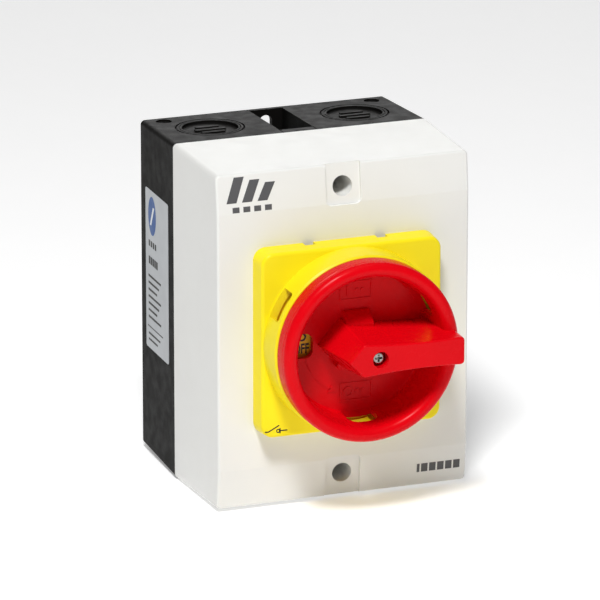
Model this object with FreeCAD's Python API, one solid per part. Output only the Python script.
import FreeCAD, Part

import math
import os

"""Enclosed rotary isolator switch with a padlockable handle.

Frame: the origin is the centre of the flat rear face, +X is to the right, +Z is up and the
front faces -Y. Depths are measured forward from the rear face, so a depth d is y = -d.
"""

Vector = FreeCAD.Vector
AXIS_Y = Vector(0, 1, 0)
ORIGIN = Vector(0, 0, 0)

# ---------------------------------------------------------------- driving sizes
WIDTH = 94.0
HEIGHT = 121.0
BASE_DEPTH = 37.3
COVER_DEPTH = 39.8
CROWN = 1.65
BASE_DRAFT = 1.18
COVER_DRAFT = 0.98
BASE_WALL = 3.0
COVER_WALL = 2.6
CORNER_R = 1.6
EDGE_R = 0.9

PLATE_SIZE = 66.4
PLATE_DRAFT = 0.4
PLATE_DEPTH = 7.75
PLATE_CORNER_R = 4.5
COLLAR_R = 32.3
COLLAR_DEPTH = 11.4
COLLAR_WALL = 2.0
RING_R = 31.8
RING_TUBE_R = 2.55
RING_SKIRT = 5.6
DISH_R = 25.5
DISH_DEPTH = 16.55
LEVER_HEIGHT = 23.6
LEVER_HALF = 5.75
LEVER_END = 30.6

SHAFT_SIDE = 6.0
HUB_R = 8.0
CONTACT_TRAVEL = 2.5

BLOCK_X = 24.0
BLOCK_Z = 27.0
DECK_DEPTH = 13.0

# ---------------------------------------------------------------- clearances
RUN_FIT = 0.05
SLIP = 0.1
FREE = 0.3
CUT = 1.0

# ---------------------------------------------------------------- depths along the axis
FACE_EDGE = BASE_DEPTH + COVER_DEPTH
FACE = FACE_EDGE + CROWN
PLATE_FRONT = FACE + PLATE_DEPTH
COLLAR_FRONT = PLATE_FRONT + COLLAR_DEPTH
RING_BACK = COLLAR_FRONT + 0.5
RING_CENTRE = RING_BACK + RING_SKIRT
FLOOR_FRONT = RING_CENTRE + RING_TUBE_R - DISH_DEPTH
FLOOR_THICK = 2.0
FLOOR_BACK = FLOOR_FRONT - FLOOR_THICK
LEVER_FRONT = FLOOR_FRONT + LEVER_HEIGHT
COVER_INSIDE = FACE - COVER_WALL - 0.2
HUB_BACK = COVER_INSIDE - 4.0
FOOT_BACK = 9.0
FOOT_THICK = 5.0
DECK_BACK = FOOT_BACK + FOOT_THICK
DECKS = {"rear": DECK_BACK, "front": DECK_BACK + DECK_DEPTH}
DETENT_BACK = DECK_BACK + 2 * DECK_DEPTH
DETENT_DEPTH = 9.0
CAP_BACK = DETENT_BACK + DETENT_DEPTH
CAP_THICK = 3.0
CAP_FRONT = CAP_BACK + CAP_THICK


# ---------------------------------------------------------------- shape helpers
def box(x0, x1, d0, d1, z0, z1):
    """A block between two places on each axis, with depths forward from the rear face."""
    low = Vector(min(x0, x1), -max(d0, d1), min(z0, z1))
    return Part.makeBox(abs(x1 - x0), abs(d1 - d0), abs(z1 - z0), low)


def rod(radius, d0, d1, x=0.0, z=0.0):
    """A cylinder along the depth axis."""
    return Part.makeCylinder(radius, abs(d1 - d0), Vector(x, -max(d0, d1), z), AXIS_Y)


def rod_x(radius, x0, x1, d, z):
    return Part.makeCylinder(radius, abs(x1 - x0), Vector(min(x0, x1), -d, z), Vector(1, 0, 0))


def rod_z(radius, z0, z1, x, d):
    return Part.makeCylinder(radius, abs(z1 - z0), Vector(x, -d, min(z0, z1)), Vector(0, 0, 1))


def tube(outer, inner, d0, d1, x=0.0, z=0.0):
    return rod(outer, d0, d1, x, z).cut(rod(inner, d0 - CUT, d1 + CUT, x, z))


def rounded_outline(half_x, half_z, radius, depth, x=0.0, z=0.0):
    """A rectangle with round corners, standing at one depth."""
    y = -depth
    slant = radius * (1 - math.sqrt(0.5))
    edges = []
    corners = [(1, 1), (-1, 1), (-1, -1), (1, -1)]
    points = []
    for sx, sz in corners:
        cx = x + sx * half_x
        cz = z + sz * half_z
        on_side = Vector(cx, y, cz - sz * radius)
        middle = Vector(cx - sx * slant, y, cz - sz * slant)
        on_end = Vector(cx - sx * radius, y, cz)
        if sx * sz > 0:
            points.append((on_side, middle, on_end))
        else:
            points.append((on_end, middle, on_side))
    for i, (first, middle, last) in enumerate(points):
        following = points[(i + 1) % len(points)][0]
        edges.append(Part.Arc(first, middle, last).toShape())
        edges.append(Part.LineSegment(last, following).toShape())
    return Part.Wire(edges)


def drafted_block(half_back, half_front, radius, d_back, d_front):
    """A rounded rectangular block that tapers evenly from its back outline to its front one."""
    back = rounded_outline(half_back[0], half_back[1], radius, d_back)
    front = rounded_outline(half_front[0], half_front[1], radius, d_front)
    return Part.makeLoft([back, front], True, True)


def prism(points, d0, d1):
    """An outline of (x, z) corners, carried from one depth to another."""
    corners = [Vector(x, -d0, z) for x, z in points]
    face = Part.Face(Part.makePolygon(corners + corners[:1]))
    return face.extrude(Vector(0, d0 - d1, 0))


def prism_x(points, x0, x1):
    """An outline of (depth, z) corners, carried along X."""
    corners = [Vector(x0, -d, z) for d, z in points]
    face = Part.Face(Part.makePolygon(corners + corners[:1]))
    return face.extrude(Vector(x1 - x0, 0, 0))


def turned(points):
    """A ring or disc from an outline of (radius, depth) corners about the depth axis."""
    corners = [Vector(r, -d, 0) for r, d in points]
    face = Part.Face(Part.makePolygon(corners + corners[:1]))
    return face.revolve(ORIGIN, AXIS_Y, 360)


def spun(shape, degrees):
    """A copy turned about the handle's axis, clockwise as seen from the front."""
    copy = shape.copy()
    copy.rotate(ORIGIN, AXIS_Y, degrees)
    return copy


def flipped_z(shape):
    return shape.mirror(ORIGIN, Vector(0, 0, 1))


def fuse(first, *others):
    whole = first.fuse(list(others)) if others else first
    return whole.removeSplitter()


def cut(first, *others):
    return first.cut(list(others))


def edges_where(shape, keep):
    return [edge for edge in shape.Edges if keep(edge)]


def export(name, *solids):
    shape = solids[0] if len(solids) == 1 else Part.makeCompound(list(solids))
    if shape.ShapeType == "Compound" and len(shape.Solids) == 1:
        shape = shape.Solids[0]
    shape.exportStep("parts/%s.step" % name)
    print("%-22s %2d solid  %10.1f mm3  valid %s"
          % (name, len(shape.Solids), shape.Volume, shape.isValid()))


# ---------------------------------------------------------------- base housing
NOTCH_HALF = 6.2
NOTCH_DEEP = 15.0
NOTCH_BACK = 2.5
NOTCH_FRONT = BASE_DEPTH - 4.4
NOTCH_WALL = 2.0
SCREW_Z = HEIGHT / 2 - 9.0
COVER_SCREW_R = 1.9
SLOT_R = 2.4
SLOT_LENGTH = 8.4
SLOT_Z = HEIGHT / 2 - 7.5
KNOCKOUT_X = WIDTH / 2 - 20.1
KNOCKOUT_DEPTH = 19.4
KNOCKOUT_R = 12.25
KNOCKOUT_INNER_R = 9.9
GROOVE = 0.65
DIMPLE_X = WIDTH / 2 - 8.1
DIMPLE_DEPTH = 5.2
DIMPLE_R = 2.8
GASKET_WIDE = 1.2
GASKET_TALL = 1.0
POST_R = 4.0
FOOT_SCREW_Z = BLOCK_Z + 4.0
FOOT_SCREW_R = 1.7
EARTH_X = 11.0 - WIDTH / 2
EARTH_Z = -20.0
EARTH_BACK = 9.0
EARTH_SCREW_R = 1.9


def base_shell(inset, d_back, d_front):
    """The base's tapered outline, drawn in by one wall and held between two depths."""
    half_x = WIDTH / 2 - inset
    half_z = HEIGHT / 2 - inset
    back_share = BASE_DRAFT * (1 - d_back / BASE_DEPTH)
    front_share = BASE_DRAFT * (1 - d_front / BASE_DEPTH)
    radius = max(CORNER_R - inset, 0.4)
    return drafted_block((half_x - back_share, half_z - back_share),
                         (half_x - front_share, half_z - front_share), radius, d_back, d_front)


def knockout_cuts(x):
    """One cable entry in the top wall: a thin ring groove and a recessed disc with three ribs."""
    skin = HEIGHT / 2 - BASE_DRAFT * (1 - KNOCKOUT_DEPTH / BASE_DEPTH)
    ring = rod_z(KNOCKOUT_R, skin - 0.8, skin + CUT, x, KNOCKOUT_DEPTH)
    ring = ring.cut(rod_z(KNOCKOUT_R - GROOVE, skin - CUT, skin + 2 * CUT, x, KNOCKOUT_DEPTH))
    disc = rod_z(KNOCKOUT_INNER_R, skin - 1.1, skin + CUT, x, KNOCKOUT_DEPTH)
    for row in (-1, 0, 1):
        centre = KNOCKOUT_DEPTH + row * 3.4
        half = 5.6 - abs(row) * 1.4
        disc = disc.cut(box(x - half, x + half, centre - 0.8, centre + 0.8, skin - 1.2, skin - 0.6))
    rim = rod_z(KNOCKOUT_INNER_R + 1.0, skin - 0.35, skin + CUT, x, KNOCKOUT_DEPTH)
    rim = rim.cut(rod_z(KNOCKOUT_INNER_R + 0.6, skin - CUT, skin + 2 * CUT, x, KNOCKOUT_DEPTH))
    return [ring, disc, rim]


def make_base():
    outer = base_shell(0.0, 0.0, BASE_DEPTH)
    rear_edges = edges_where(outer, lambda e: e.BoundBox.YMin > -0.01)
    outer = outer.makeFillet(0.7, rear_edges)
    notch_top = HEIGHT / 2
    floor_z = notch_top - NOTCH_DEEP
    core = base_shell(BASE_WALL, BASE_WALL, BASE_DEPTH + CUT)
    for side in (1, -1):
        core = core.cut(box(-NOTCH_HALF - NOTCH_WALL, NOTCH_HALF + NOTCH_WALL, 0, BASE_DEPTH + 2 * CUT,
                            side * (floor_z - NOTCH_WALL), side * (notch_top + CUT)))
    shell = outer.cut(core)

    cuts = []
    for side in (1, -1):
        notch = box(-NOTCH_HALF, NOTCH_HALF, NOTCH_BACK, NOTCH_FRONT,
                    side * floor_z, side * (notch_top + CUT))
        run = SLOT_LENGTH / 2 - SLOT_R
        slot = box(-SLOT_R, SLOT_R, -CUT, NOTCH_BACK + CUT, side * SLOT_Z - run, side * SLOT_Z + run)
        slot = slot.fuse(rod(SLOT_R, -CUT, NOTCH_BACK + CUT, 0, side * SLOT_Z + run))
        slot = slot.fuse(rod(SLOT_R, -CUT, NOTCH_BACK + CUT, 0, side * SLOT_Z - run))
        cuts += [notch, slot]
        cuts.append(rod(COVER_SCREW_R + RUN_FIT, NOTCH_FRONT - CUT, BASE_DEPTH + CUT, 0, side * SCREW_Z))
        for x in (-NOTCH_HALF, NOTCH_HALF):
            cuts.append(box(x - 0.2, x + 0.2, NOTCH_FRONT - CUT, BASE_DEPTH + CUT,
                            side * (notch_top - 0.35), side * (notch_top + CUT)))
        for x in (-KNOCKOUT_X, KNOCKOUT_X):
            for piece in knockout_cuts(x):
                cuts.append(piece if side > 0 else flipped_z(piece))
        for x in (-DIMPLE_X, DIMPLE_X):
            dimple = rod_z(DIMPLE_R, notch_top - BASE_DRAFT - 0.5, notch_top + CUT, x, DIMPLE_DEPTH)
            cuts.append(dimple if side > 0 else flipped_z(dimple))
    shell = cut(shell, *cuts)

    posts = []
    for z in (-FOOT_SCREW_Z, FOOT_SCREW_Z):
        posts.append(rod(POST_R, BASE_WALL - 0.5, FOOT_BACK, 0, z))
    for x in (-BLOCK_X + 5, BLOCK_X - 5):
        for z in (-BLOCK_Z + 5, BLOCK_Z - 5):
            posts.append(rod(POST_R - 1, BASE_WALL - 0.5, FOOT_BACK, x, z))
    posts.append(box(EARTH_X - 4, EARTH_X + 4, BASE_WALL - 0.5, EARTH_BACK, EARTH_Z - 8, EARTH_Z + 8))
    shell = fuse(shell, *posts)
    holes = [rod(FOOT_SCREW_R + RUN_FIT, FOOT_BACK - 5, FOOT_BACK + CUT, 0, z)
             for z in (-FOOT_SCREW_Z, FOOT_SCREW_Z)]
    return cut(shell, gasket_ring(), *holes)


def gasket_ring():
    """The seal that lies in a groove round the base's rim, flush with it."""
    outer_inset = (BASE_WALL - GASKET_WIDE) / 2
    inner_inset = outer_inset + GASKET_WIDE
    d0 = BASE_DEPTH - GASKET_TALL
    outer = prism_rounded(WIDTH / 2 - outer_inset, HEIGHT / 2 - outer_inset, 1.0, d0, BASE_DEPTH)
    inner = prism_rounded(WIDTH / 2 - inner_inset, HEIGHT / 2 - inner_inset, 0.5, d0 - CUT, BASE_DEPTH + CUT)
    return outer.cut(inner)


def prism_rounded(half_x, half_z, radius, d0, d1, x=0.0, z=0.0):
    face = Part.Face(rounded_outline(half_x, half_z, radius, d0, x, z))
    return face.extrude(Vector(0, d0 - d1, 0))


# ---------------------------------------------------------------- front cover
FLAT_Z = HEIGHT / 2 - 14.7
POCKET_HALF = 6.4
POCKET_Z = HEIGHT / 2 - 15.4
POCKET_DEEP = 0.9
POCKET_R = 2.0
HOLE_R = 3.55
HEAD_FLOOR = 56.0
TUBE_R = HOLE_R + 1.7
BUSH_R = 10.9
PLATE_SCREW = 25.0
PLATE_SCREW_R = 1.45


def cover_profile(drop, d_back, reach):
    """The cover's side outline: a flat middle and two end strips that lean back."""
    front = FACE - drop
    edge = FACE_EDGE - drop
    lean = CROWN / (HEIGHT / 2 - FLAT_Z)
    end = edge - lean * (reach - HEIGHT / 2)
    return [(d_back, -reach), (end, -reach), (front, -FLAT_Z), (front, FLAT_Z), (end, reach), (d_back, reach)]


def make_cover():
    half_back = (WIDTH / 2, HEIGHT / 2)
    envelope = prism_x(cover_profile(0.0, BASE_DEPTH - CUT, HEIGHT / 2 + 5), -WIDTH, WIDTH)
    share = COVER_DRAFT * (FACE + CUT - BASE_DEPTH) / COVER_DEPTH
    tall_front = (WIDTH / 2 - share, HEIGHT / 2 - share)
    outer = drafted_block(half_back, tall_front, CORNER_R, BASE_DEPTH, FACE + CUT).common(envelope)

    def is_front_edge(edge):
        bound = edge.BoundBox
        at_front = -bound.YMax > FACE_EDGE - 1.0
        on_rim = max(abs(bound.XMin), abs(bound.XMax)) > WIDTH / 2 - 4
        crosses = bound.XLength > WIDTH / 2 and abs(bound.ZMin) < HEIGHT / 2 - 5
        return at_front and on_rim and not crosses

    outer = outer.makeFillet(EDGE_R, edges_where(outer, is_front_edge))
    inner = drafted_block((half_back[0] - COVER_WALL, half_back[1] - COVER_WALL),
                          (tall_front[0] - COVER_WALL, tall_front[1] - COVER_WALL),
                          0.6, BASE_DEPTH - CUT, FACE + CUT)
    hollow = prism_x(cover_profile(COVER_WALL + 0.2, BASE_DEPTH - 2 * CUT, HEIGHT / 2 + 5), -WIDTH, WIDTH)
    shell = outer.cut(inner.common(hollow))

    for side in (1, -1):
        column = rod(TUBE_R, BASE_DEPTH, FACE_EDGE - 0.5, 0, side * SCREW_Z)
        web = box(-1.0, 1.0, BASE_DEPTH, FACE_EDGE - 1.0, side * SCREW_Z, side * (HEIGHT / 2 - 2))
        shell = fuse(shell, column, web)
    cuts = []
    for side in (1, -1):
        pocket = prism_x([(FACE_EDGE - POCKET_DEEP - 0.9, HEIGHT / 2 + 4), (FACE - POCKET_DEEP, POCKET_Z),
                          (FACE + 3, POCKET_Z), (FACE + 3, HEIGHT / 2 + 4)], -POCKET_HALF, POCKET_HALF)
        pocket_edges = edges_where(pocket, lambda e: abs(e.BoundBox.ZMin - POCKET_Z) < 0.01
                                   and e.BoundBox.XLength < 0.01 and e.BoundBox.ZLength < 0.01)
        pocket = pocket.makeFillet(POCKET_R, pocket_edges)
        cuts.append(pocket if side > 0 else flipped_z(pocket))
        cuts.append(rod(HOLE_R, HEAD_FLOOR, FACE + CUT, 0, side * SCREW_Z))
        cuts.append(rod(COVER_SCREW_R + FREE, BASE_DEPTH - CUT, HEAD_FLOOR + CUT, 0, side * SCREW_Z))
    cuts.append(rod(BUSH_R + SLIP, COVER_INSIDE - CUT, FACE + CUT))
    for x in (-PLATE_SCREW, PLATE_SCREW):
        for z in (-PLATE_SCREW, PLATE_SCREW):
            cuts.append(rod(PLATE_SCREW_R + 0.25, COVER_INSIDE - CUT, FACE + CUT, x, z))
    return cut(shell, *cuts)


# ---------------------------------------------------------------- screws
def cross_recess(half, depth, d_front, x=0.0, z=0.0):
    """Two crossed slots that a cross-head driver fits."""
    arm = 0.28 * half
    flat = box(x - half, x + half, d_front - depth, d_front + CUT, z - arm, z + arm)
    upright = box(x - arm, x + arm, d_front - depth, d_front + CUT, z - half, z + half)
    return flat.fuse(upright)


def front_screw(shank_r, head_r, head_tall, d_tip, d_seat, x=0.0, z=0.0):
    """A pan-head screw that points backwards, with its head's seat at d_seat."""
    head = rod(head_r, d_seat, d_seat + head_tall, x, z)
    rim = edges_where(head, lambda e: -e.BoundBox.YMax > d_seat + head_tall - 0.01)
    head = head.makeFillet(0.45 * head_tall, rim)
    whole = head.fuse(rod(shank_r, d_tip, d_seat, x, z))
    return whole.cut(cross_recess(0.55 * head_r, 0.6 * head_tall, d_seat + head_tall, x, z))


def make_plate_screw(x, z):
    """A screw driven from inside the cover into the escutcheon."""
    head_tall = 2.0
    head = rod(2.7, COVER_INSIDE - head_tall, COVER_INSIDE, x, z)
    shank = rod(PLATE_SCREW_R, COVER_INSIDE, PLATE_FRONT - 3.0, x, z)
    slot = box(x - 1.5, x + 1.5, COVER_INSIDE - head_tall - CUT, COVER_INSIDE - 1.0, z - 0.4, z + 0.4)
    upright = box(x - 0.4, x + 0.4, COVER_INSIDE - head_tall - CUT, COVER_INSIDE - 1.0, z - 1.5, z + 1.5)
    return head.fuse(shank).cut(slot).cut(upright)


# ---------------------------------------------------------------- escutcheon
PLATE_WALL = 2.0
COLLAR_ROUND = 0.6
COLLAR_DRAFT = 1.0
LOCK_ANGLES = (0.0, 120.0, 240.0)
LOCK_HALF = 5.5
SLOT_BACK = PLATE_FRONT + 0.8
SLOT_FRONT = SLOT_BACK + 8.0
LEGEND_THICK = 0.4
LEGEND_R = 26.6
SEAL_BACK = FACE + 2.0
SEAL_DEPTH = 2.0
SEAL_R = 1.6
SLOT_CORNER = 1.5


def lock_cutter(d0, d1, r0, r1, half, corner):
    """A radial passage at the bottom of the axis, with its two front corners rounded."""
    block = box(-half, half, d0, d1, -r1, -r0)
    front = edges_where(block, lambda e: e.BoundBox.ZLength > 1 and -e.BoundBox.YMin > d1 - 0.01
                        and e.BoundBox.YLength < 0.01)
    return block.makeFillet(corner, front)


def make_escutcheon():
    half = PLATE_SIZE / 2
    plate = drafted_block((half, half), (half - PLATE_DRAFT, half - PLATE_DRAFT),
                          PLATE_CORNER_R, FACE, PLATE_FRONT)
    rim = edges_where(plate, lambda e: -e.BoundBox.YMax > PLATE_FRONT - 0.01)
    plate = plate.makeFillet(1.2, rim)
    hollow = prism_rounded(half - PLATE_WALL - PLATE_DRAFT, half - PLATE_WALL - PLATE_DRAFT,
                           PLATE_CORNER_R - PLATE_WALL, FACE - CUT, PLATE_FRONT - PLATE_WALL)
    plate = plate.cut(hollow)
    collar = turned([(COLLAR_R - COLLAR_WALL, PLATE_FRONT - 1), (COLLAR_R, PLATE_FRONT - 1),
                     (COLLAR_R, COLLAR_FRONT - COLLAR_ROUND), (COLLAR_R - COLLAR_ROUND, COLLAR_FRONT),
                     (COLLAR_R - COLLAR_WALL, COLLAR_FRONT),
                     (COLLAR_R - COLLAR_WALL - COLLAR_DRAFT, PLATE_FRONT)])
    bush = rod(BUSH_R, HUB_BACK + 2.5, PLATE_FRONT - 1)
    bosses = []
    for x in (-PLATE_SCREW, PLATE_SCREW):
        for z in (-PLATE_SCREW, PLATE_SCREW):
            bosses.append(rod(3.4, FACE, PLATE_FRONT - 1, x, z))
    rib = tube(15.0, BUSH_R - 1, SEAL_BACK, PLATE_FRONT - 1)
    whole = fuse(plate, collar, bush, rib, *bosses)
    cuts = [rod(HUB_R + RUN_FIT, COVER_INSIDE - 3, PLATE_FRONT + CUT)]
    cuts.append(rod(HUB_R + SEAL_R, PLATE_FRONT - 4.5 - SEAL_DEPTH, PLATE_FRONT - 4.5))
    cuts.append(rod(LEGEND_R + SLIP, PLATE_FRONT - LEGEND_THICK, PLATE_FRONT + CUT))
    for x in (-PLATE_SCREW, PLATE_SCREW):
        for z in (-PLATE_SCREW, PLATE_SCREW):
            cuts.append(rod(PLATE_SCREW_R + RUN_FIT, FACE - CUT, PLATE_FRONT - 2.5, x, z))
    for angle in LOCK_ANGLES:
        slot = lock_cutter(SLOT_BACK, SLOT_FRONT, COLLAR_R - 5, COLLAR_R + 4, LOCK_HALF, SLOT_CORNER)
        cuts.append(spun(slot, angle))
    for x in (-13.2, 13.2):
        cuts.append(box(x - 1.9, x + 1.9, FACE - CUT, FACE + 2.6, half - PLATE_WALL - 1, half + CUT))
    return cut(whole, *cuts)


def make_legend_disc():
    return tube(LEGEND_R, HUB_R + 0.6, PLATE_FRONT - LEGEND_THICK, PLATE_FRONT)


# ---------------------------------------------------------------- handle
SHELL_WALL = 2.0
WINDOW_FRONT = FLOOR_FRONT + 9.0
WINDOW_CORNER = 3.0
LEGEND_WINDOW_IN = 15.6
LEGEND_WINDOW_HALF = 4.35
LEGEND_WINDOW_CORNER = 2.8
BORE_R = 2.85
SCREW_SEAT = LEVER_FRONT - 4.2
SHAFT_FRONT = SCREW_SEAT - 2.0
ARROW_TIP = -14.3
ARROW_LEAN = 3.0
ARROW_ANGLE = 46.5
HEAD_FLARE = 3.0
WAIST_X = 12.0
WAIST_HALF = 4.6
END_HALF = 4.95
LEVER_LEAN = 1.1
LEVER_EDGE_R = 1.0
BLOCK_LEFT = -5.2
BLOCK_RIGHT = 4.8
BLOCK_TOP = 11.3
BLOCK_LOW = 7.6
BLOCK_LIP = 1.25
BLOCK_RISE = 5.4
MARK_Z = 18.0
MARK_RISE = 0.3
MARK_FRAME_X = 5.9
MARK_FRAME_Z = 3.3
MARK_LINE = 0.5
SWEEP_R = 18.8
SWEEP_HALF_LINE = 0.3
SWEEP_START = 195.0
SWEEP = 45.0
SWEEP_HEAD = 6.0
SWEEP_HEAD_HALF = 1.4


def ring_and_dish():
    """The round rim, its sloping dish wall and the flat floor, turned in one piece."""
    centre_r = RING_R - RING_TUBE_R
    step = 0.7071 * RING_TUBE_R
    d = RING_CENTRE
    back_in = (DISH_R + SHELL_WALL - 0.2, FLOOR_BACK)
    wall_out = (DISH_R + SHELL_WALL + 0.6, RING_BACK)
    points = [(0, FLOOR_BACK), back_in, wall_out, (RING_R - 0.3, RING_BACK), (RING_R, RING_BACK + 0.3),
              (RING_R, d)]
    edges = []
    for first, last in zip(points[:-1], points[1:]):
        edges.append(Part.LineSegment(flat(first), flat(last)).toShape())
    crest = (centre_r, d + RING_TUBE_R)
    inner = (centre_r - RING_TUBE_R, d)
    edges.append(arc(points[-1], (centre_r + step, d + step), crest))
    edges.append(arc(crest, (centre_r - step, d + step), inner))
    closing = [inner, (DISH_R, FLOOR_FRONT + 0.3), (DISH_R - 0.3, FLOOR_FRONT), (0, FLOOR_FRONT), points[0]]
    for first, last in zip(closing[:-1], closing[1:]):
        edges.append(Part.LineSegment(flat(first), flat(last)).toShape())
    return Part.Face(Part.Wire(edges)).revolve(ORIGIN, AXIS_Y, 360)


def flat(point):
    return Vector(point[0], -point[1], 0)


def arc(first, middle, last):
    return Part.Arc(flat(first), flat(middle), flat(last)).toShape()


def lever_outline(depth, tip, head_half, waist_half, end_half):
    """The bar seen from the front at one depth: an arrow end, waisted sides and a square end."""
    y = -depth
    shoulder = tip + head_half / math.tan(math.radians(ARROW_ANGLE))
    nose = Vector(tip, y, 0)
    top = [Vector(shoulder, y, head_half), Vector(WAIST_X, y, waist_half), Vector(LEVER_END, y, end_half)]
    low = [Vector(v.x, y, -v.z) for v in top]
    return Part.Wire([Part.LineSegment(nose, top[0]).toShape(), Part.Arc(*top).toShape(),
                      Part.LineSegment(top[2], low[2]).toShape(), Part.Arc(*low[::-1]).toShape(),
                      Part.LineSegment(low[0], nose).toShape()])


def make_lever():
    """The bar across the dish, the sloping block beside it and the small round stop."""
    foot = FLOOR_FRONT - 1.0
    wide = lever_outline(foot, ARROW_TIP, LEVER_HALF + HEAD_FLARE, WAIST_HALF + LEVER_LEAN,
                         END_HALF + LEVER_LEAN)
    narrow = lever_outline(LEVER_FRONT, ARROW_TIP + ARROW_LEAN, LEVER_HALF, WAIST_HALF, END_HALF)
    bar = Part.makeLoft([wide, narrow], True, True)
    upright_end = edges_where(bar, lambda e: e.BoundBox.XMin > LEVER_END - 0.5 and e.BoundBox.YLength > 5)
    bar = bar.makeFillet(1.6, upright_end)
    front_rim = edges_where(bar, lambda e: -e.BoundBox.YMax > LEVER_FRONT - 0.01)
    bar = bar.makeFillet(LEVER_EDGE_R, front_rim)
    ramp = [(foot, 0), (foot, BLOCK_TOP), (FLOOR_FRONT + BLOCK_LIP, BLOCK_TOP),
            (FLOOR_FRONT + BLOCK_RISE, BLOCK_LOW), (FLOOR_FRONT + BLOCK_RISE, 0)]
    block = prism_x(ramp, BLOCK_LEFT, BLOCK_RIGHT)
    bump = rod(1.7, foot, FLOOR_FRONT + 4.0, -6.5, -7.0)
    reach = rod(DISH_R + 1.0, foot, RING_BACK + 1).fuse(rod(RING_R - 0.5, RING_BACK + 0.6, LEVER_FRONT + 1))
    return [piece.common(reach) for piece in (bar, block, bump)]


def on_sweep(radius, degrees):
    angle = math.radians(degrees)
    return (radius * math.cos(angle), radius * math.sin(angle))


def raised_marks():
    """Low raised frames with the on and off symbols, and the curved turning arrow."""
    top = FLOOR_FRONT + MARK_RISE
    low = FLOOR_FRONT - 0.5
    marks = []
    for z in (-MARK_Z, MARK_Z):
        frame = box(-MARK_FRAME_X, MARK_FRAME_X, low, top, z - MARK_FRAME_Z, z + MARK_FRAME_Z)
        inside_x = MARK_FRAME_X - MARK_LINE
        inside_z = MARK_FRAME_Z - MARK_LINE
        frame = frame.cut(box(-inside_x, inside_x, low - CUT, top + CUT, z - inside_z, z + inside_z))
        marks.append(frame)
    marks.append(box(-0.4, 0.4, low, top, MARK_Z - 1.8, MARK_Z + 1.8))
    marks.append(tube(1.9, 1.3, low, top, 0, -MARK_Z))
    band = tube(SWEEP_R + SWEEP_HALF_LINE, SWEEP_R - SWEEP_HALF_LINE, low, top)
    sector = [(0, 0)] + [on_sweep(DISH_R + 5, SWEEP_START + SWEEP * step / 6) for step in range(7)]
    marks.append(band.common(prism(sector, low - CUT, top + CUT)))
    head_foot = SWEEP_START + SWEEP - 0.5
    head = [on_sweep(SWEEP_R, SWEEP_START + SWEEP + SWEEP_HEAD),
            on_sweep(SWEEP_R + SWEEP_HEAD_HALF, head_foot), on_sweep(SWEEP_R - SWEEP_HEAD_HALF, head_foot)]
    marks.append(prism(head, low, top))
    return marks


def make_handle():
    hub = rod(HUB_R, HUB_BACK, FLOOR_FRONT)
    whole = fuse(ring_and_dish(), hub, *make_lever())
    whole = fuse(whole, *raised_marks())
    cuts = []
    for angle in LOCK_ANGLES:
        window = lock_cutter(FLOOR_FRONT + 0.3, WINDOW_FRONT, DISH_R - 2, RING_R - 2, LOCK_HALF, WINDOW_CORNER)
        cuts.append(spun(window, angle))
    legend = prism_rounded(5.5, LEGEND_WINDOW_HALF, LEGEND_WINDOW_CORNER, FLOOR_BACK - CUT, FLOOR_FRONT + 1.5,
                           -LEGEND_WINDOW_IN - 5.5, 0)
    cuts.append(legend.common(rod(DISH_R - 0.6, FLOOR_BACK - CUT, FLOOR_FRONT + 2)))
    cuts.append(rod(BORE_R, SCREW_SEAT, LEVER_FRONT + CUT))
    cuts.append(rod(1.7, SHAFT_FRONT - CUT, SCREW_SEAT + CUT))
    side = SHAFT_SIDE / 2 + RUN_FIT
    cuts.append(box(-side, side, HUB_BACK - CUT, SHAFT_FRONT, -side, side))
    cuts.append(tube(HUB_R + CUT, HUB_R - 1.2, HUB_BACK + 1.0, HUB_BACK + 2.2))
    cuts.append(box(HUB_R + 1, 23.0, FLOOR_BACK - CUT, LEVER_FRONT - 2.5, -3.6, 3.6))
    return cut(whole, *cuts)


def make_handle_screw():
    return front_screw(1.45, 2.4, 2.0, SHAFT_FRONT - 8.0, SCREW_SEAT)


# ---------------------------------------------------------------- shaft and rotor
CAM_HIGH = 9.0
CAM_HALF_THICK = 4.0
HUB_CAM_R = 6.0
FOOT_BORE_R = 5.0
CAP_BORE_R = 6.0
DECK_FLOOR = 2.0
CAM_BORE_R = CAM_HIGH + 0.9


def make_shaft():
    half = SHAFT_SIDE / 2
    shaft = box(-half, half, FOOT_BACK + 2.0, SHAFT_FRONT, -half, half)
    upright = edges_where(shaft, lambda e: e.BoundBox.YLength > 10)
    shaft = shaft.makeChamfer(0.4, upright)
    return shaft.cut(rod(1.5, SHAFT_FRONT - 10.0, SHAFT_FRONT + CUT))


def square_bore(d0, d1):
    half = SHAFT_SIDE / 2 + RUN_FIT
    return box(-half, half, d0 - CUT, d1 + CUT, -half, half)


def cam_outline():
    """Two straight-line spirals a half turn apart: high at the top and bottom, low at the sides."""
    points = []
    steps = 48
    for i in range(steps):
        angle = 2 * math.pi * i / steps
        from_pole = abs(math.asin(math.sin(angle)))
        radius = CAM_HIGH - CONTACT_TRAVEL * from_pole / (math.pi / 2)
        points.append((radius * math.sin(angle), radius * math.cos(angle)))
    return points


def make_cam(deck_back):
    middle = deck_back + DECK_FLOOR + (DECK_DEPTH - DECK_FLOOR) / 2
    lobes = prism(cam_outline(), middle - CAM_HALF_THICK, middle + CAM_HALF_THICK)
    start = deck_back + 0.1
    finish = deck_back + DECK_DEPTH - 0.1
    whole = fuse(lobes, rod(HUB_CAM_R, start, finish))
    if deck_back == DECK_BACK:
        whole = fuse(whole, rod(FOOT_BORE_R, FOOT_BACK + 2.0, start + CUT))
    return whole.cut(square_bore(FOOT_BACK, finish))


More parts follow.
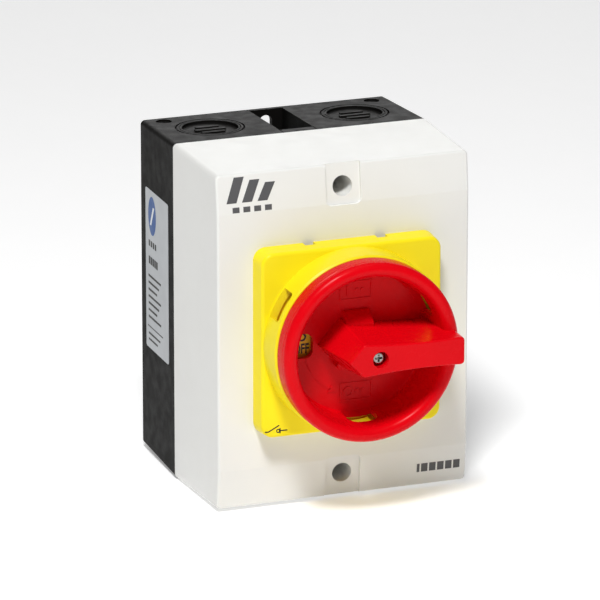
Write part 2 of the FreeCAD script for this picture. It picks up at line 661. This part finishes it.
def make_detent_wheel():
    """A four-notched wheel with the front journal that turns in the bearing cap."""
    back = DETENT_BACK + 0.1
    front = CAP_BACK - 0.3
    wheel = rod(9.5, back + 1.4, front)
    for angle in (0, 90, 180, 270):
        notch = rod(2.2, back, front + CUT, 0, 10.1)
        wheel = wheel.cut(spun(notch, angle))
    whole = fuse(wheel, rod(HUB_CAM_R, back, CAP_FRONT + 0.5))
    return whole.cut(square_bore(back, CAP_FRONT + 0.5))


# ---------------------------------------------------------------- switch block housings
GUIDE_HALF = 3.0
GUIDE_TOP = 12.0
CHAMBER_HALF = 14.4
CHAMBER_TOP = BLOCK_Z - 2.5
POCKET_IN = 15.4
PAD_LOW = GUIDE_TOP + 0.2
STRIP = 1.2
TIP_GAP = 0.05
BRIDGE_LOW = PAD_LOW + STRIP + TIP_GAP + CONTACT_TRAVEL + 1.2
TIE_X = 20.0
TIE_R = 1.9


def deck_middle(deck_back):
    return deck_back + DECK_FLOOR + (DECK_DEPTH - DECK_FLOOR) / 2


def tie_holes(d0, d1):
    return [rod(TIE_R + SLIP, d0 - CUT, d1 + CUT, x, 0) for x in (-TIE_X, TIE_X)]


def block_plate(d0, d1):
    return prism_rounded(BLOCK_X, BLOCK_Z, 2.0, d0, d1)


def make_foot():
    front = FOOT_BACK + FOOT_THICK
    plate = block_plate(FOOT_BACK, front)
    ears = prism_rounded(8.0, FOOT_SCREW_Z + 5.0, 3.0, FOOT_BACK, FOOT_BACK + 3.5)
    whole = fuse(plate, ears)
    holes = [rod(FOOT_SCREW_R + 0.2, FOOT_BACK - CUT, front, 0, z) for z in (-FOOT_SCREW_Z, FOOT_SCREW_Z)]
    holes += [rod(TIE_R + RUN_FIT, FOOT_BACK + 1.0, front + CUT, x, 0) for x in (-TIE_X, TIE_X)]
    holes.append(rod(FOOT_BORE_R + RUN_FIT, FOOT_BACK + 1.5, front + CUT))
    return cut(whole, *holes)


def make_deck(deck_back):
    front = deck_back + DECK_DEPTH
    floor = deck_back + DECK_FLOOR
    middle = deck_middle(deck_back)
    body = block_plate(deck_back, front)
    cuts = [rod(CAM_BORE_R, floor, front + CUT), rod(HUB_CAM_R + FREE, deck_back - CUT, front)]
    cuts += tie_holes(deck_back, front)
    for side in (1, -1):
        def place(x0, x1, d0, d1, z0, z1):
            cuts.append(box(x0, x1, d0, d1, side * z0, side * z1))
        guide = GUIDE_HALF + SLIP
        place(-guide, guide, middle - guide, front + CUT, CAM_BORE_R - 2, GUIDE_TOP + 0.5)
        place(-CHAMBER_HALF, CHAMBER_HALF, floor, front + CUT, GUIDE_TOP, CHAMBER_TOP)
        for x in (-1, 1):
            place(x * POCKET_IN, x * (BLOCK_X + CUT), floor, front + CUT, GUIDE_TOP, BLOCK_Z + CUT)
            place(x * (CHAMBER_HALF - CUT), x * (POCKET_IN + CUT), floor, front + CUT,
                  GUIDE_TOP, GUIDE_TOP + 2.2)
    return cut(body, *cuts)


def make_detent_housing():
    front = DETENT_BACK + DETENT_DEPTH
    body = block_plate(DETENT_BACK, front)
    cuts = [rod(10.0, DETENT_BACK + 1.2, front + CUT), rod(HUB_CAM_R + FREE, DETENT_BACK - CUT, front)]
    cuts += tie_holes(DETENT_BACK, front)
    for side in (1, -1):
        cuts.append(box(-14.0, 14.0, DETENT_BACK + 1.2, front + CUT, side * 7.5, side * 14.5))
    return cut(body, *cuts)


def make_cap():
    body = block_plate(CAP_BACK, CAP_FRONT)
    corner = edges_where(body, lambda e: -e.BoundBox.YMax > CAP_FRONT - 0.01)
    body = body.makeFillet(0.8, corner)
    return cut(body, rod(CAP_BORE_R + RUN_FIT, CAP_BACK - CUT, CAP_FRONT + CUT),
               *tie_holes(CAP_BACK, CAP_FRONT))


def make_tie_bolt(x):
    return front_screw(TIE_R, 3.4, 2.2, FOOT_BACK + 1.2, CAP_FRONT, x, 0)


def make_detent_spring(side):
    """A bent leaf whose rounded nose sits in the wheel's notch."""
    d0 = DETENT_BACK + 2.0
    d1 = DETENT_BACK + DETENT_DEPTH - 1.0
    thick = 0.5
    nose_z = 10.1
    nose_r = 1.7
    leaf = box(-13.4, 13.4, d0, d1, nose_z + nose_r, nose_z + nose_r + thick)
    nose = rod(nose_r, d0, d1, 0, nose_z + 0.4)
    leaf = fuse(leaf, nose)
    for x in (-13.4, 13.4):
        inward = -1 if x > 0 else 1
        leg = box(x, x + inward * thick, d0, d1, nose_z + nose_r, 14.3)
        leaf = fuse(leaf, leg)
    return leaf if side > 0 else flipped_z(leaf)


# ---------------------------------------------------------------- contacts
PLUNGER_TIP_R = 1.5
PLUNGER_GAP = 0.3
SPRING_SEAT = BRIDGE_LOW + STRIP + 1.6
SPRING_R = 2.2
WIRE_R = 0.35
SPRING_TURNS = 4
BRIDGE_HALF = 12.2
CONTACT_HALF_WIDE = 3.0
LEG_IN = 16.0
CLAMP_IN = LEG_IN + STRIP + 0.9
TERMINAL_Z = 20.0
TERMINAL_SCREW_R = 1.5


def make_plunger(deck_back, side):
    middle = deck_middle(deck_back)
    tip_centre = CAM_HIGH + PLUNGER_GAP + PLUNGER_TIP_R
    nose = Part.makeCylinder(PLUNGER_TIP_R, 2 * GUIDE_HALF, Vector(0, -middle - GUIDE_HALF, tip_centre), AXIS_Y)
    stem = box(-PLUNGER_TIP_R, PLUNGER_TIP_R, middle - GUIDE_HALF, middle + GUIDE_HALF,
               tip_centre, GUIDE_TOP)
    body = box(-GUIDE_HALF, GUIDE_HALF, middle - GUIDE_HALF, middle + GUIDE_HALF,
               tip_centre + 0.4, BRIDGE_LOW)
    neck = box(-1.5, 1.5, middle - 1.5, middle + 1.5, BRIDGE_LOW - 0.5, SPRING_SEAT - 1.0)
    seat = box(-3.2, 3.2, middle - 3.2, middle + 3.2, BRIDGE_LOW + STRIP + 0.1, SPRING_SEAT)
    peg = rod_z(SPRING_R - WIRE_R - 0.3, SPRING_SEAT - 0.5, SPRING_SEAT + 1.6, 0, middle)
    whole = fuse(nose, stem, body, neck, seat, peg)
    return whole if side > 0 else flipped_z(whole)


def make_bridge(deck_back, side):
    """The moving contact bar with a silver tip at each end, threaded on the plunger's neck."""
    middle = deck_middle(deck_back)
    half = CONTACT_HALF_WIDE - 0.4
    bar = box(-BRIDGE_HALF, BRIDGE_HALF, middle - half, middle + half, BRIDGE_LOW, BRIDGE_LOW + STRIP)
    upright = edges_where(bar, lambda e: e.BoundBox.ZLength > 1)
    bar = bar.makeFillet(0.8, upright)
    tips = [rod_z(1.8, BRIDGE_LOW - 0.6, BRIDGE_LOW + 0.2, x, middle) for x in (-10.2, 10.2)]
    whole = fuse(bar, *tips)
    whole = whole.cut(box(-1.6, 1.6, middle - 1.6, middle + 1.6, BRIDGE_LOW - 1, BRIDGE_LOW + STRIP + 1))
    return whole if side > 0 else flipped_z(whole)


def make_spring(deck_back, side):
    """A stack of round rings stands for the coil between the plunger's seat and the deck's wall."""
    middle = deck_middle(deck_back)
    low = SPRING_SEAT + WIRE_R + 0.05
    high = CHAMBER_TOP - WIRE_R - 0.05
    rings = []
    for i in range(SPRING_TURNS):
        z = low + (high - low) * i / (SPRING_TURNS - 1)
        rings.append(Part.makeTorus(SPRING_R, WIRE_R, Vector(0, -middle, z), Vector(0, 0, 1)))
    links = [rod_z(WIRE_R * 0.8, low, high, x, middle) for x in (-SPRING_R, SPRING_R)]
    whole = fuse(rings[0], *(rings[1:] + links))
    return whole if side > 0 else flipped_z(whole)


def fixed_contact(deck_back, side, x_side):
    """An angled strip: a silver-tipped pad under the bridge and a threaded leg at the terminal."""
    middle = deck_middle(deck_back)
    half = CONTACT_HALF_WIDE
    pad = box(8.0, LEG_IN + STRIP, middle - half, middle + half, PAD_LOW, PAD_LOW + STRIP)
    leg = box(LEG_IN, LEG_IN + STRIP, middle - half, middle + half, PAD_LOW, BLOCK_Z - 2.0)
    tip = rod_z(1.8, PAD_LOW + 0.5, PAD_LOW + STRIP + 0.6, 10.2, middle)
    hole = rod_x(TERMINAL_SCREW_R + RUN_FIT, LEG_IN - CUT, LEG_IN + STRIP + CUT, middle, TERMINAL_Z)
    whole = fuse(pad, leg, tip).cut(hole)
    if x_side < 0:
        whole = whole.mirror(ORIGIN, Vector(1, 0, 0))
    return whole if side > 0 else flipped_z(whole)


def terminal_clamp(deck_back, side, x_side):
    """The square saddle that presses a wire against the contact's leg."""
    middle = deck_middle(deck_back)
    saddle = box(CLAMP_IN, CLAMP_IN + 1.2, middle - 3.6, middle + 3.6, TERMINAL_Z - 3.6, TERMINAL_Z + 3.6)
    ridge = box(CLAMP_IN - 0.4, CLAMP_IN + 0.2, middle - 3.6, middle + 3.6, TERMINAL_Z + 2.2, TERMINAL_Z + 3.0)
    hole = rod_x(TERMINAL_SCREW_R + SLIP, CLAMP_IN - CUT, CLAMP_IN + 2 * CUT + 1, middle, TERMINAL_Z)
    whole = fuse(saddle, ridge).cut(hole)
    if x_side < 0:
        whole = whole.mirror(ORIGIN, Vector(1, 0, 0))
    return whole if side > 0 else flipped_z(whole)


def terminal_screw(deck_back, side, x_side):
    middle = deck_middle(deck_back)
    seat = CLAMP_IN + 1.2
    head = rod_x(2.9, seat, seat + 2.4, middle, TERMINAL_Z)
    shank = rod_x(TERMINAL_SCREW_R, LEG_IN - 0.5, seat, middle, TERMINAL_Z)
    whole = fuse(head, shank)
    whole = whole.cut(box(seat + 1.2, seat + 4, middle - 3.2, middle + 3.2, TERMINAL_Z - 0.4, TERMINAL_Z + 0.4))
    whole = whole.cut(box(seat + 1.2, seat + 4, middle - 0.4, middle + 0.4, TERMINAL_Z - 2.0, TERMINAL_Z + 2.0))
    if x_side < 0:
        whole = whole.mirror(ORIGIN, Vector(1, 0, 0))
    return whole if side > 0 else flipped_z(whole)


def corner_set(maker, deck_back):
    return [maker(deck_back, side, x_side) for side in (1, -1) for x_side in (1, -1)]


# ---------------------------------------------------------------- smaller root pieces
LABEL_BACK = 6.0
LABEL_FRONT = 31.4
LABEL_LOW = -21.0
LABEL_HIGH = 37.0
LABEL_THICK = 0.15


def make_label():
    """A thin sheet that lies on the left side, following its draft."""
    def side_x(depth):
        return -WIDTH / 2 + BASE_DRAFT * (1 - depth / BASE_DEPTH)
    corners = [Vector(side_x(LABEL_BACK), -LABEL_BACK, LABEL_LOW),
               Vector(side_x(LABEL_FRONT), -LABEL_FRONT, LABEL_LOW),
               Vector(side_x(LABEL_FRONT) - LABEL_THICK, -LABEL_FRONT, LABEL_LOW),
               Vector(side_x(LABEL_BACK) - LABEL_THICK, -LABEL_BACK, LABEL_LOW)]
    face = Part.Face(Part.makePolygon(corners + corners[:1]))
    label = face.extrude(Vector(0, 0, LABEL_HIGH - LABEL_LOW))
    corner_edges = edges_where(label, lambda e: e.BoundBox.YLength < 0.1 and e.BoundBox.XLength > 0.1
                               and e.BoundBox.ZLength < 0.01)
    return label.makeFillet(1.0, corner_edges)


def earth_screws():
    return [front_screw(EARTH_SCREW_R, 3.4, 2.4, EARTH_BACK + 1, EARTH_BACK + 8.5, EARTH_X, EARTH_Z + dz)
            for dz in (-4.0, 4.0)]


def make_earth_block():
    """A brass block with two wire holes and two screws on top."""
    block = box(EARTH_X - 3.5, EARTH_X + 3.5, EARTH_BACK, EARTH_BACK + 8.5, EARTH_Z - 7.8, EARTH_Z + 7.8)
    upright = edges_where(block, lambda e: e.BoundBox.YLength > 5)
    block = block.makeFillet(0.5, upright)
    cuts = []
    for dz in (-4.0, 4.0):
        cuts.append(rod(EARTH_SCREW_R + RUN_FIT, EARTH_BACK + 0.5, EARTH_BACK + 10, EARTH_X, EARTH_Z + dz))
    return cut(block, *cuts)


def make_seal():
    """The O-ring, squeezed to its groove, that the handle's hub turns in."""
    front = PLATE_FRONT - 4.5
    inner = HUB_R + RUN_FIT
    outer = HUB_R + SEAL_R - RUN_FIT
    ring = tube(outer, inner, front - SEAL_DEPTH + RUN_FIT, front - RUN_FIT)
    return ring


def make_retaining_ring():
    """An open spring ring in the hub's groove, behind the escutcheon's bush."""
    ring = tube(HUB_R + 1.6, HUB_R - 1.1, HUB_BACK + 1.05, HUB_BACK + 2.15)
    return ring.cut(box(-1.5, 1.5, HUB_BACK, HUB_BACK + 3, 0, HUB_R + 4))


def main():
    os.makedirs("parts", exist_ok=True)
    export("base_housing", make_base())
    export("cover_gasket", gasket_ring())
    export("front_cover", make_cover())
    cover_screws = [front_screw(COVER_SCREW_R, 3.2, 2.8, NOTCH_FRONT + 0.3, HEAD_FLOOR, 0, z)
                    for z in (-SCREW_Z, SCREW_Z)]
    export("cover_screws", *cover_screws)
    export("escutcheon", make_escutcheon())
    export("escutcheon_gasket", tube(15.0, BUSH_R + SLIP, FACE, SEAL_BACK))
    plate_screws = [make_plate_screw(x, z) for x in (-PLATE_SCREW, PLATE_SCREW)
                    for z in (-PLATE_SCREW, PLATE_SCREW)]
    export("escutcheon_screws", *plate_screws)
    export("legend_disc", make_legend_disc())
    export("rating_label", make_label())
    export("hub_seal", make_seal())

    export("handle", make_handle())
    export("handle_screw", make_handle_screw())
    export("retaining_ring", make_retaining_ring())
    export("drive_shaft", make_shaft())
    export("rear_cam", make_cam(DECKS["rear"]))
    export("front_cam", make_cam(DECKS["front"]))
    export("detent_wheel", make_detent_wheel())

    export("switch_foot", make_foot())
    export("foot_screws", *[front_screw(FOOT_SCREW_R, 3.0, 2.0, FOOT_BACK - 4, FOOT_BACK + 3.5, 0, z)
                            for z in (-FOOT_SCREW_Z, FOOT_SCREW_Z)])
    export("detent_housing", make_detent_housing())
    export("bearing_cap", make_cap())
    export("tie_bolts", make_tie_bolt(-TIE_X), make_tie_bolt(TIE_X))
    export("detent_springs", make_detent_spring(1), make_detent_spring(-1))
    for name, deck_back in DECKS.items():
        export(name + "_contact_deck", make_deck(deck_back))
        export(name + "_fixed_contacts", *corner_set(fixed_contact, deck_back))
        export(name + "_terminal_clamps", *corner_set(terminal_clamp, deck_back))
        export(name + "_terminal_screws", *corner_set(terminal_screw, deck_back))
        for place, side in (("upper", 1), ("lower", -1)):
            export("%s_%s_plunger" % (name, place), make_plunger(deck_back, side))
            export("%s_%s_bridge" % (name, place), make_bridge(deck_back, side))
            export("%s_%s_spring" % (name, place), make_spring(deck_back, side))
    export("earth_terminal", make_earth_block())
    export("earth_screws", *earth_screws())


main()
